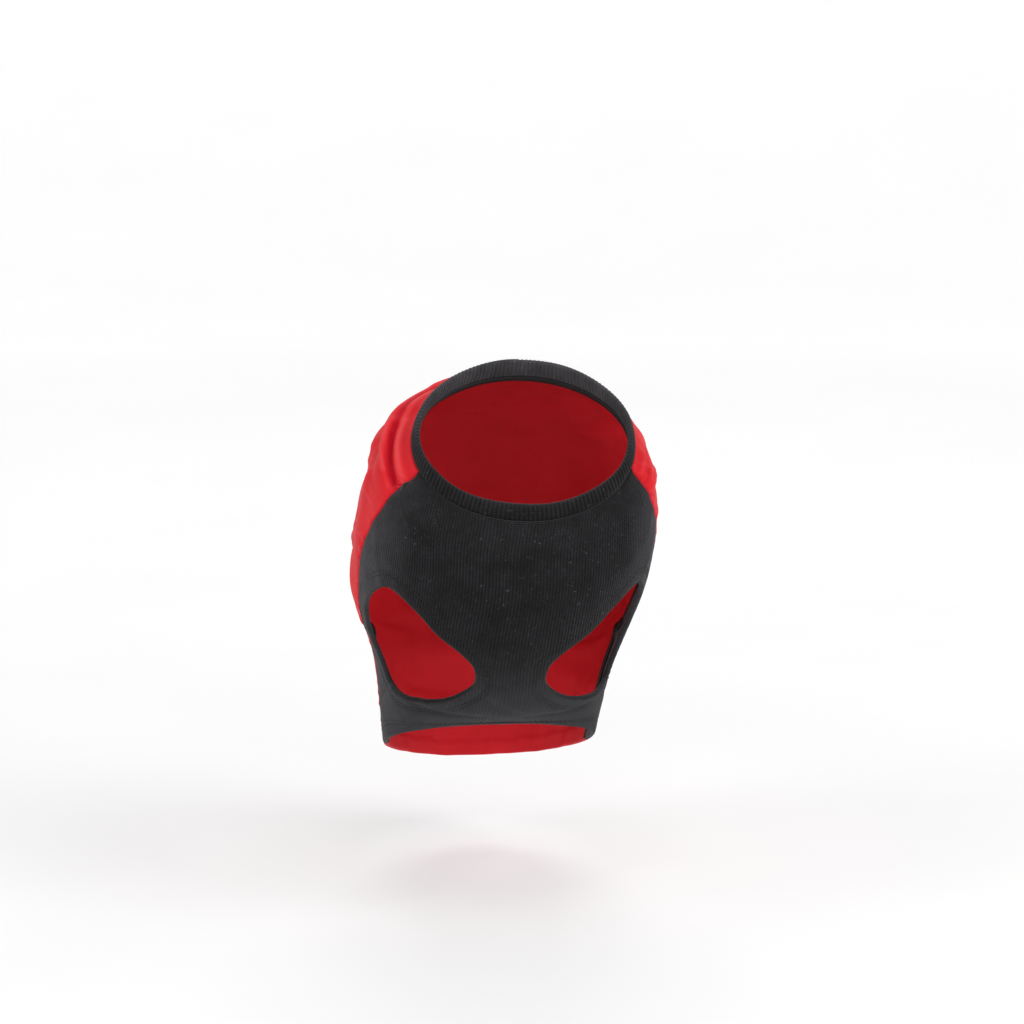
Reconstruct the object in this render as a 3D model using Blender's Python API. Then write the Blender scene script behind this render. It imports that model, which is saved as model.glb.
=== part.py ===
"""Pull-on coat for a small dog, modelled hollow and in its worn, sitting shape.

Three pieces of cloth are sewn into one tube with a neck, a hem and two armholes:
    front_panel   black ribbed knit: throat, chest, belly and both armholes
    back_panel    red woven cloth: shoulders, back and rump
    neck_binding  black rib band folded over the neck edge

The tube is a fan of rings. Each ring lies in a plane through one point of the chest line and one
point of the back line. A place on the cloth has two sheet coordinates: its angle round the ring
(0 at the middle of the chest, 180 at the middle of the back, growing towards +X) and its station,
the mean distance from the neck seam down the cloth. The coat faces -Y and +Z is up. The origin is
on the inner face of the back, over the withers, where the wearer carries it.
"""
import math

import bmesh
import bpy
import numpy as np
from mathutils import Vector
from mathutils.geometry import delaunay_2d_cdt

COLLECTION = "dog_coat"

# Cloth
WALL = 0.0018
TURNED_WALL = 0.0026
TURNED_WIDTH = 0.008
SEAM_GAP = 0.0003
SEAM_GAP_ACROSS = 0.00036

# Mesh spacing
EDGE_STEP = 0.0062
FIELD_STEP = 0.0068
EDGE_CLEARANCE = 0.0042
BINDING_SEGMENTS = 72
ARMHOLE_PARTS = 10
PROBE = 0.0005
MERGE_DISTANCE = 0.000001
FILL_INSIDE = 1
SHARP_ANGLE = math.radians(40.0)

# Where the wearer's withers carry the coat
HOLD_ANGLE = 180.0
HOLD_STATION = 0.020

# Radius that turns an angle round a ring into a length across the cloth
SPREAD = 0.068

# Rings from the top of the neck binding down to the hem. chest_* and back_* place the ring's
# lowest front point and its highest back point; keel draws the chest side in to a blunt ridge.
RING_COLUMNS = ("chest_y", "chest_z", "back_y", "back_z", "half_width", "centre_x", "fullness", "keel")
RINGS = (
    ("binding_top", -0.0645, 0.1132, -0.0015, 0.1700, 0.0490, 0.0070, 2.00, 0.00),
    ("neck",        -0.0700, 0.1070,  0.0040, 0.1630, 0.0510, 0.0065, 2.00, 0.00),
    ("yoke",        -0.0820, 0.0940,  0.0200, 0.1620, 0.0615, 0.0035, 2.10, 0.00),
    ("shoulder",    -0.0900, 0.0780,  0.0400, 0.1460, 0.0665, 0.0020, 2.10, 0.02),
    ("chest",       -0.0920, 0.0600,  0.0660, 0.1130, 0.0690, -0.0010, 2.10, 0.04),
    ("ribs",        -0.0860, 0.0430,  0.0850, 0.0680, 0.0645, -0.0030, 2.10, 0.05),
    ("belly",       -0.0720, 0.0270,  0.0990, 0.0240, 0.0560, -0.0030, 2.10, 0.05),
    ("waist",       -0.0540, 0.0140,  0.1100, -0.0150, 0.0525, -0.0035, 2.10, 0.03),
    ("hem",         -0.0340, 0.0050,  0.1180, -0.0460, 0.0505, -0.0035, 2.10, 0.00),
)
NECK_ROW = 1

# Side seam: the angle at which the black front meets the red back, the same on both sides.
SEAM_COLUMNS = ("station", "angle")
SEAM = (
    (0.000, 73.0),
    (0.012, 70.0),
    (0.024, 69.5),
    (0.041, 74.0),
    (0.060, 76.0),
    (0.080, 76.0),
    (0.098, 79.5),
    (0.121, 87.0),
    (0.156, 95.0),
    (0.197, 101.0),
)

# Armhole in the front panel, a closed curve, mirrored for the other side.
ARMHOLE_COLUMNS = ("angle", "station")
ARMHOLE = (
    (50.0, 0.0630),
    (36.0, 0.0675),
    (25.5, 0.0805),
    (17.0, 0.0920),
    (12.0, 0.1060),
    (13.0, 0.1270),
    (24.0, 0.1470),
    (45.0, 0.1500),
    (64.0, 0.1400),
    (72.5, 0.1180),
    (70.5, 0.0955),
    (61.0, 0.0760),
)

# Largest folds: soft ridges (height above zero) and troughs (below zero) from one place on the
# cloth to another. width is the distance from the crest at which a fold has all but run out.
FOLD_COLUMNS = ("from_angle", "from_station", "to_angle", "to_station", "width", "height")
FOLDS = (
    ("left_collar_trough",    -118.0, 0.0085, -77.0, 0.0105, 0.0050, -0.0018),
    ("left_shoulder_roll",    -112.0, 0.0150, -80.0, 0.0165, 0.0050, 0.0012),
    ("left_shoulder_trough",  -128.0, 0.0230, -92.0, 0.0250, 0.0065, -0.0018),
    ("left_side_ridge",        -93.0, 0.0330, -80.0, 0.0660, 0.0080, 0.0010),
    ("left_shoulder_fullness", -122.0, 0.0140, -94.0, 0.0240, 0.0180, 0.0018),
    ("left_flank_fullness",    -90.0, 0.0900, -94.0, 0.1020, 0.0180, 0.0020),
    ("left_chest_ridge",       -68.0, 0.0095, -50.0, 0.0190, 0.0055, 0.0009),
    ("right_shoulder_ridge",    88.0, 0.0070, 74.0, 0.0190, 0.0050, 0.0010),
    ("right_shoulder_trough",  124.0, 0.0130, 90.0, 0.0150, 0.0060, -0.0014),
    ("right_side_trough",      100.0, 0.0350, 82.0, 0.0300, 0.0070, -0.0009),
    ("nape_trough",            146.0, 0.0130, 218.0, 0.0110, 0.0060, -0.0018),
    ("nape_roll",              140.0, 0.0280, 226.0, 0.0310, 0.0080, 0.0012),
    ("withers_trough",         134.0, 0.0450, 204.0, 0.0500, 0.0085, -0.0018),
    ("left_back_trough",       168.0, 0.0860, 238.0, 0.0730, 0.0095, -0.0017),
    ("right_back_trough",      122.0, 0.0990, 172.0, 0.0930, 0.0090, -0.0013),
    ("left_waist_trough",      180.0, 0.1480, 240.0, 0.1350, 0.0095, -0.0018),
    ("right_waist_trough",     118.0, 0.1600, 158.0, 0.1510, 0.0085, -0.0014),
    ("left_elbow_pull",        -84.0, 0.1180, -118.0, 0.0980, 0.0085, -0.0010),
    ("right_elbow_pull",        88.0, 0.1200, 120.0, 0.1040, 0.0085, -0.0009),
)
FOLD_RUN_OUT = 0.6

# Section of the neck binding: station from the neck seam and distance out from the cloth's face.
BINDING_COLUMNS = ("station", "out")
BINDING_SECTION = (
    (-SEAM_GAP / 2, 0.0002),
    (-0.0045, 0.0006),
    (-0.0078, 0.0003),
    (-0.0090, -0.0009),
    (-0.0078, -0.0021),
    (-0.0045, -0.0024),
    (-SEAM_GAP / 2, -0.0020),
)

# Colours are linear; one row for each piece.
MATERIAL_COLUMNS = ("colour", "roughness")
MATERIALS = {
    "front_panel": ((0.0185, 0.0180, 0.0190), 0.95),
    "back_panel": ((0.600, 0.028, 0.032), 0.60),
    "neck_binding": ((0.0160, 0.0155, 0.0165), 0.95),
}


def column(table, columns, name, offset=0):
    """Return one named column of a table as an array; offset skips a leading name column."""
    place = columns.index(name) + offset
    return np.array([row[place] for row in table], dtype=float)


def smooth_curve(known_at, known, at):
    """Read a smooth curve through known values, with the slope of the table at each row."""
    slopes = np.gradient(known, known_at)
    at = np.asarray(at, dtype=float)
    row = np.clip(np.searchsorted(known_at, at, side="right") - 1, 0, len(known) - 2)
    span = known_at[row + 1] - known_at[row]
    part = (at - known_at[row]) / span
    start = (2 * part**3 - 3 * part**2 + 1) * known[row]
    start_slope = (part**3 - 2 * part**2 + part) * span * slopes[row]
    end = (3 * part**2 - 2 * part**3) * known[row + 1]
    end_slope = (part**3 - part**2) * span * slopes[row + 1]
    return start + start_slope + end + end_slope


def ring_stations():
    """Work out the station of each ring: the mean of its distances down chest and back lines."""
    total = np.zeros(len(RINGS))
    for side in ("chest", "back"):
        y = column(RINGS, RING_COLUMNS, side + "_y", 1)
        z = column(RINGS, RING_COLUMNS, side + "_z", 1)
        total[1:] += np.cumsum(np.hypot(np.diff(y), np.diff(z))) / 2
    return total - total[NECK_ROW]


STATIONS = ring_stations()
HEM_STATION = STATIONS[-1]


def ring_value(name, station):
    """Return a column of the ring table at any station."""
    return smooth_curve(STATIONS, column(RINGS, RING_COLUMNS, name, 1), station)


def tube_point(angle, station):
    """Return the plain tube's outer face at sheet coordinates, without folds."""
    turn = np.radians(angle)
    chest_y, chest_z = ring_value("chest_y", station), ring_value("chest_z", station)
    back_y, back_z = ring_value("back_y", station), ring_value("back_z", station)
    depth = np.hypot(back_y - chest_y, back_z - chest_z)
    half_depth = depth / 2
    power = ring_value("fullness", station)
    along = np.abs(np.cos(turn) / half_depth) ** power
    across = np.abs(np.sin(turn) / ring_value("half_width", station)) ** power
    radius = (along + across) ** (-1 / power)
    sideways = radius * np.sin(turn) * (1 - ring_value("keel", station) * np.cos(turn))
    backwards = -radius * np.cos(turn) / depth
    x = ring_value("centre_x", station) + sideways
    y = (chest_y + back_y) / 2 + backwards * (back_y - chest_y)
    z = (chest_z + back_z) / 2 + backwards * (back_z - chest_z)
    return np.stack([x, y, z], axis=-1)


def face_normal(surface, angle, station):
    """Return the outward normal of a surface given as a function of angle and station."""
    probe_angle = math.degrees(PROBE / SPREAD)
    round_ring = surface(angle + probe_angle, station) - surface(angle - probe_angle, station)
    down_cloth = surface(angle, station + PROBE) - surface(angle, station - PROBE)
    normal = np.cross(down_cloth, round_ring)
    return normal / np.linalg.norm(normal, axis=-1, keepdims=True)


def angle_between(first, second):
    """Return first minus second, taken the short way round, in degrees."""
    return (first - second + 180.0) % 360.0 - 180.0


def fold_height(angle, station):
    """Add up the folds at sheet coordinates: each fades across its width and along its run."""
    height = np.zeros(np.broadcast(angle, station).shape)
    for _, from_angle, from_station, to_angle, to_station, width, crest in FOLDS:
        run = np.array([math.radians(angle_between(to_angle, from_angle)) * SPREAD,
                        to_station - from_station])
        x = np.radians(angle_between(angle, from_angle)) * SPREAD
        y = station - from_station
        along = np.clip((x * run[0] + y * run[1]) / run.dot(run), 0.0, 1.0)
        distance = np.hypot(x - along * run[0], y - along * run[1])
        fade = 1 - FOLD_RUN_OUT * along**2
        height += crest * fade * np.exp(-2 * (distance / width) ** 2)
    return height


def cloth_point(angle, station):
    """Return the outer face of the cloth at sheet coordinates, folds included."""
    angle = np.asarray(angle, dtype=float)
    station = np.asarray(station, dtype=float)
    normal = face_normal(tube_point, angle, station)
    return tube_point(angle, station) + normal * fold_height(angle, station)[..., None]


def hold_point():
    """Return the point on the inner face of the back where the wearer carries the coat."""
    normal = face_normal(cloth_point, HOLD_ANGLE, HOLD_STATION)
    return cloth_point(HOLD_ANGLE, HOLD_STATION) - normal * WALL


ORIGIN = hold_point()


def seam_angle(station):
    """Return the angle of the side seam at a station."""
    known_at = column(SEAM, SEAM_COLUMNS, "station")
    return smooth_curve(known_at, column(SEAM, SEAM_COLUMNS, "angle"), station)


def to_sheet(angle, station):
    """Return places on the flat sheet, in metres, for angles and stations."""
    return np.stack([np.radians(angle) * SPREAD, station], axis=-1)


def even_steps(start, end, step):
    """Return evenly spaced values from start to end, about one step apart."""
    return np.linspace(start, end, max(2, round(abs(end - start) / step) + 1))


def armhole_loop(side):
    """Return the armhole's edge on the sheet as an evenly spaced closed loop (side is +1 or -1)."""
    corners = to_sheet(column(ARMHOLE, ARMHOLE_COLUMNS, "angle") * side,
                       column(ARMHOLE, ARMHOLE_COLUMNS, "station"))
    fine = []
    for index, point in enumerate(corners):
        before = corners[index - 1]
        following = corners[(index + 1) % len(corners)]
        beyond = corners[(index + 2) % len(corners)]
        for part in np.arange(ARMHOLE_PARTS) / ARMHOLE_PARTS:
            pull = following - before
            bend = 2 * before - 5 * point + 4 * following - beyond
            twist = 3 * point - before - 3 * following + beyond
            fine.append(point + (pull * part + bend * part**2 + twist * part**3) / 2)
    fine.append(fine[0])
    fine = np.array(fine)
    run = np.concatenate([[0.0], np.cumsum(np.linalg.norm(np.diff(fine, axis=0), axis=1))])
    even = even_steps(0.0, run[-1], EDGE_STEP)[:-1]
    return np.stack([np.interp(even, run, fine[:, 0]), np.interp(even, run, fine[:, 1])], axis=-1)


def panel_outline(first_angle, last_angle):
    """Return a panel's outline on the sheet, between two angles given as functions of station."""
    stations = even_steps(SEAM_GAP / 2, HEM_STATION, EDGE_STEP)
    turn_step = math.degrees(EDGE_STEP / SPREAD)
    hem = even_steps(first_angle(HEM_STATION), last_angle(HEM_STATION), turn_step)
    neck = even_steps(first_angle(stations[0]), last_angle(stations[0]), turn_step)
    return np.concatenate([
        to_sheet(first_angle(stations), stations),
        to_sheet(hem[1:-1], np.full(len(hem) - 2, HEM_STATION)),
        to_sheet(last_angle(stations[::-1]), stations[::-1]),
        to_sheet(neck[-2:0:-1], np.full(len(neck) - 2, stations[0])),
    ])


def is_inside(loop, points):
    """Say for each point on the sheet whether it is inside a closed loop."""
    inside = np.zeros(len(points), dtype=bool)
    for start, end in zip(loop, np.roll(loop, -1, axis=0)):
        crosses = (start[1] > points[:, 1]) != (end[1] > points[:, 1])
        rise = np.where(crosses, end[1] - start[1], 1.0)
        reach = start[0] + (points[:, 1] - start[1]) * (end[0] - start[0]) / rise
        inside ^= crosses & (points[:, 0] < reach)
    return inside


def distance_to(loop, points):
    """Return each point's distance on the sheet to the nearest point of a loop."""
    gaps = points[:, None, :] - loop[None, :, :]
    return np.linalg.norm(gaps, axis=-1).min(axis=1)


def field_points(outline, holes):
    """Return staggered points that fill an outline, clear of its edge and of its holes."""
    low, high = outline.min(axis=0), outline.max(axis=0)
    rows = []
    for index, station in enumerate(even_steps(low[1], high[1], FIELD_STEP * math.sqrt(3) / 2)):
        across = np.arange(low[0] + FIELD_STEP / 2 * (index % 2), high[0], FIELD_STEP)
        rows.append(np.stack([across, np.full(len(across), station)], axis=-1))
    points = np.concatenate(rows)
    points = points[is_inside(outline, points) & (distance_to(outline, points) > EDGE_CLEARANCE)]
    for hole in holes:
        points = points[~is_inside(hole, points) & (distance_to(hole, points) > EDGE_CLEARANCE)]
    return points


def triangulate(outline, holes):
    """Return sheet points and triangles that fill an outline and leave its holes open."""
    loops = [outline, *holes]
    edges = []
    first = 0
    for loop in loops:
        edges += [(first + i, first + (i + 1) % len(loop)) for i in range(len(loop))]
        first += len(loop)
    points = np.concatenate([*loops, field_points(outline, holes)])
    flat = [Vector(point) for point in points]
    flat, _, triangles, *_ = delaunay_2d_cdt(flat, edges, [], FILL_INSIDE, MERGE_DISTANCE)
    points = np.array([point[:] for point in flat])
    middles = np.array([points[list(triangle)].mean(axis=0) for triangle in triangles])
    kept = np.ones(len(triangles), dtype=bool)
    for hole in holes:
        kept &= ~is_inside(hole, middles)
    return points, [triangle for triangle, keep in zip(triangles, kept) if keep]


def wall_thickness(points, turned_edges):
    """Return the wall at each sheet point: thicker where an edge is turned under and stitched."""
    near = HEM_STATION - points[:, 1] < TURNED_WIDTH
    for edge in turned_edges:
        near |= distance_to(edge, points) < TURNED_WIDTH
    return np.where(near, TURNED_WALL, WALL)


def cloth_material(name):
    """Return a cloth material with the piece's own colour and roughness."""
    colour, roughness = MATERIALS[name]
    material = bpy.data.materials.new(name)
    material.use_nodes = True
    shader = material.node_tree.nodes["Principled BSDF"]
    shader.inputs["Base Color"].default_value = (*colour, 1.0)
    shader.inputs["Roughness"].default_value = roughness
    shader.inputs["Metallic"].default_value = 0.0
    return material


def add_piece(name, mesh_data, collection):
    """Turn a bmesh into a named, smoothly shaded object with its own material."""
    bmesh.ops.triangulate(mesh_data, faces=mesh_data.faces[:])
    bmesh.ops.recalc_face_normals(mesh_data, faces=mesh_data.faces[:])
    mesh = bpy.data.meshes.new(name)
    mesh_data.to_mesh(mesh)
    mesh_data.free()
    mesh.materials.append(cloth_material(name))
    mesh.shade_smooth()
    mesh.set_sharp_from_angle(angle=SHARP_ANGLE)
    piece = bpy.data.objects.new(name, mesh)
    collection.objects.link(piece)
    return piece


def make_panel(name, outline, holes, collection):
    """Make a panel: its outer face is extruded inward and set square to the cloth everywhere."""
    points, triangles = triangulate(outline, holes)
    angle = np.degrees(points[:, 0] / SPREAD)
    station = points[:, 1]
    outer = cloth_point(angle, station) - ORIGIN
    normal = face_normal(cloth_point, angle, station)
    inner = outer - normal * wall_thickness(points, holes)[:, None]

    panel = bmesh.new()
    point_number = panel.verts.layers.int.new("point_number")
    corners = []
    for number, position in enumerate(outer):
        corner = panel.verts.new(position)
        corner[point_number] = number
        corners.append(corner)
    for triangle in triangles:
        panel.faces.new([corners[number] for number in triangle])
    faces = panel.faces[:]
    made = bmesh.ops.extrude_face_region(panel, geom=faces, use_keep_orig=True)["geom"]
    for element in made:
        if isinstance(element, bmesh.types.BMVert):
            element.co = inner[element[point_number]]
    return add_piece(name, panel, collection)


def make_binding(collection):
    """Make the neck binding: its section is carried round the neck as one closed ring."""
    station = column(BINDING_SECTION, BINDING_COLUMNS, "station")
    out = column(BINDING_SECTION, BINDING_COLUMNS, "out")
    binding = bmesh.new()
    rings = []
    for angle in np.arange(BINDING_SEGMENTS) * 360.0 / BINDING_SEGMENTS:
        turn = np.full(len(station), angle)
        normal = face_normal(tube_point, turn, station)
        positions = tube_point(turn, station) + normal * out[:, None] - ORIGIN
        rings.append([binding.verts.new(position) for position in positions])
    for ring, next_ring in zip(rings, rings[1:] + rings[:1]):
        for index in range(len(ring)):
            beside = index - 1
            binding.faces.new([ring[beside], ring[index], next_ring[index], next_ring[beside]])
    return add_piece("neck_binding", binding, collection)


def front_edge(side):
    """Return the front panel's seam edge as a function of station."""
    gap = math.degrees(SEAM_GAP_ACROSS / 2 / SPREAD)
    return lambda station: side * (seam_angle(station) - gap)


def back_edge(side):
    """Return the back panel's seam edge as a function of station; the left side is past 180."""
    gap = math.degrees(SEAM_GAP_ACROSS / 2 / SPREAD)
    full_turn = 0.0 if side > 0 else 360.0
    return lambda station: full_turn + side * (seam_angle(station) + gap)


def main():
    for thing in list(bpy.data.objects):
        bpy.data.objects.remove(thing, do_unlink=True)
    collection = bpy.data.collections.new(COLLECTION)
    bpy.context.scene.collection.children.link(collection)
    armholes = [armhole_loop(-1), armhole_loop(1)]
    make_panel("front_panel", panel_outline(front_edge(-1), front_edge(1)), armholes, collection)
    make_panel("back_panel", panel_outline(back_edge(1), back_edge(-1)), [], collection)
    make_binding(collection)


main()
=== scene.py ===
"""Looks of the dog coat: black ribbed-knit front, red woven back and black rib neck band.

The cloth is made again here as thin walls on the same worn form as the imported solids, finer and
with its creases, seams, turned edges, ribs and stitches. Lengths are in metres, or in millimetres
in the tables of folds, and angles are in degrees. A place on the cloth is an angle round the ring
(0 at the middle of the chest, 180 at the middle of the back, growing towards +X) and a station,
the mean distance down from the neck seam.
"""
import math

import bmesh
import bpy
import numpy as np
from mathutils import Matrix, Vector, noise
from mathutils.geometry import delaunay_2d_cdt
from mathutils.kdtree import KDTree


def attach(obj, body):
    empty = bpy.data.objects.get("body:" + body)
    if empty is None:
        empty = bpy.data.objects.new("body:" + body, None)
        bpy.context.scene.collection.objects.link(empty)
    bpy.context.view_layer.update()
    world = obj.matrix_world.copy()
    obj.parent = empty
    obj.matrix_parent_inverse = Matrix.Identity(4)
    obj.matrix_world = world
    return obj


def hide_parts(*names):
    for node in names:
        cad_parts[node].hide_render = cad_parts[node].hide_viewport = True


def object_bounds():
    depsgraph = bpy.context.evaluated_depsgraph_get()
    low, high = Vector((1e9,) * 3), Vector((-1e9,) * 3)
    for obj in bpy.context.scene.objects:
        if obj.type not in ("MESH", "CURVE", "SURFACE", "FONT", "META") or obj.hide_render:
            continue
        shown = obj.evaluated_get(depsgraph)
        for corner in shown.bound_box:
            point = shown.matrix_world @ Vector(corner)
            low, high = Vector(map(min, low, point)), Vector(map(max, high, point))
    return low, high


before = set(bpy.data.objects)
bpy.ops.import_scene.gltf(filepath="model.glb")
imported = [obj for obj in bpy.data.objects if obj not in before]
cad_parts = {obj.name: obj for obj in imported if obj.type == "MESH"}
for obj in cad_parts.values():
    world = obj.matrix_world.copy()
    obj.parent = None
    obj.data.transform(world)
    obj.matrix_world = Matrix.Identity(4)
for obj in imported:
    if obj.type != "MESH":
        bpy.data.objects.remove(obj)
cad_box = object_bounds()

# --- Form of the worn coat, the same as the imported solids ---

WALL = 0.0018
TURNED_WALL = 0.0026
TURNED_WIDTH = 0.008
SEAM_GAP = 0.0003
# Radius that turns angles into distances on the cloth.
SPREAD = 0.068
# Short distance over which slopes are measured.
PROBE = 0.0005
# Place on the cloth over the origin, where the wearer's withers carry the coat.
HOLD_ANGLE = 180.0
HOLD_STATION = 0.020

RING_COLUMNS = ("chest_y", "chest_z", "back_y", "back_z", "half_width", "centre_x", "fullness", "keel")
RINGS = (
    ("binding_top", -0.0645, 0.1132, -0.0015, 0.1700, 0.0490, 0.0070, 2.00, 0.00),
    ("neck",        -0.0700, 0.1070,  0.0040, 0.1630, 0.0510, 0.0065, 2.00, 0.00),
    ("yoke",        -0.0820, 0.0940,  0.0200, 0.1620, 0.0615, 0.0035, 2.10, 0.00),
    ("shoulder",    -0.0900, 0.0780,  0.0400, 0.1460, 0.0665, 0.0020, 2.10, 0.02),
    ("chest",       -0.0920, 0.0600,  0.0660, 0.1130, 0.0690, -0.0010, 2.10, 0.04),
    ("ribs",        -0.0860, 0.0430,  0.0850, 0.0680, 0.0645, -0.0030, 2.10, 0.05),
    ("belly",       -0.0720, 0.0270,  0.0990, 0.0240, 0.0560, -0.0030, 2.10, 0.05),
    ("waist",       -0.0540, 0.0140,  0.1100, -0.0150, 0.0525, -0.0035, 2.10, 0.03),
    ("hem",         -0.0340, 0.0050,  0.1180, -0.0460, 0.0505, -0.0035, 2.10, 0.00),
)
RING_VALUES = dict(zip(RING_COLUMNS, np.array([row[1:] for row in RINGS]).T))
NECK_ROW = 1

# Side seam. Columns: station, angle.
SEAM = (
    (0.000, 73.0), (0.012, 70.0), (0.024, 69.5), (0.041, 74.0), (0.060, 76.0),
    (0.080, 76.0), (0.098, 79.5), (0.121, 87.0), (0.156, 95.0), (0.197, 101.0),
)
# Armhole's edge. Columns: angle, station.
ARMHOLE = (
    (50.0, 0.0630), (36.0, 0.0675), (25.5, 0.0805), (17.0, 0.0920), (12.0, 0.1060), (13.0, 0.1270),
    (24.0, 0.1470), (45.0, 0.1500), (64.0, 0.1400), (72.5, 0.1180), (70.5, 0.0955), (61.0, 0.0760),
)
ARMHOLE_PARTS = 24

# Main folds, as in the solids. Columns: name, where the fold starts and ends on the cloth (an angle
# and a station each), the distance from its crest at which it has run out, and its height or depth.
MAIN_FOLDS = (
    ("left_collar_trough", -118, 8.5, -77, 10.5, 5, -1.8),
    ("left_shoulder_roll", -112, 15, -80, 16.5, 5, 1.2),
    ("left_shoulder_trough", -128, 23, -92, 25, 6.5, -1.8),
    ("left_side_ridge", -93, 33, -80, 66, 8, 1),
    ("left_shoulder_fullness", -122, 14, -94, 24, 18, 1.8),
    ("left_flank_fullness", -90, 90, -94, 102, 18, 2),
    ("left_chest_ridge", -68, 9.5, -50, 19, 5.5, 0.9),
    ("right_shoulder_ridge", 88, 7, 74, 19, 5, 1),
    ("right_shoulder_trough", 124, 13, 90, 15, 6, -1.4),
    ("right_side_trough", 100, 35, 82, 30, 7, -0.9),
    ("nape_trough", 146, 13, 218, 11, 6, -1.8),
    ("nape_roll", 140, 28, 226, 31, 8, 1.2),
    ("withers_trough", 134, 45, 204, 50, 8.5, -1.8),
    ("left_back_trough", 168, 86, 238, 73, 9.5, -1.7),
    ("right_back_trough", 122, 99, 172, 93, 9, -1.3),
    ("left_waist_trough", 180, 148, 240, 135, 9.5, -1.8),
    ("right_waist_trough", 118, 160, 158, 151, 8.5, -1.4),
    ("left_elbow_pull", -84, 118, -118, 98, 8.5, -1),
    ("right_elbow_pull", 88, 120, 120, 104, 8.5, -0.9),
)
# Broad swells and dips that bring the outline to the photograph's, with the same columns.
SWELLS = (
    ("left_shoulder_swell", -110, 26.8, -126, 24.5, 6, 2.1),
    ("left_side_dip", -104, 64, -118, 66, 11, -1.6),
    ("right_shoulder_dip", 96, 24, 116, 19.5, 6.8, -1.4),
)
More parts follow.
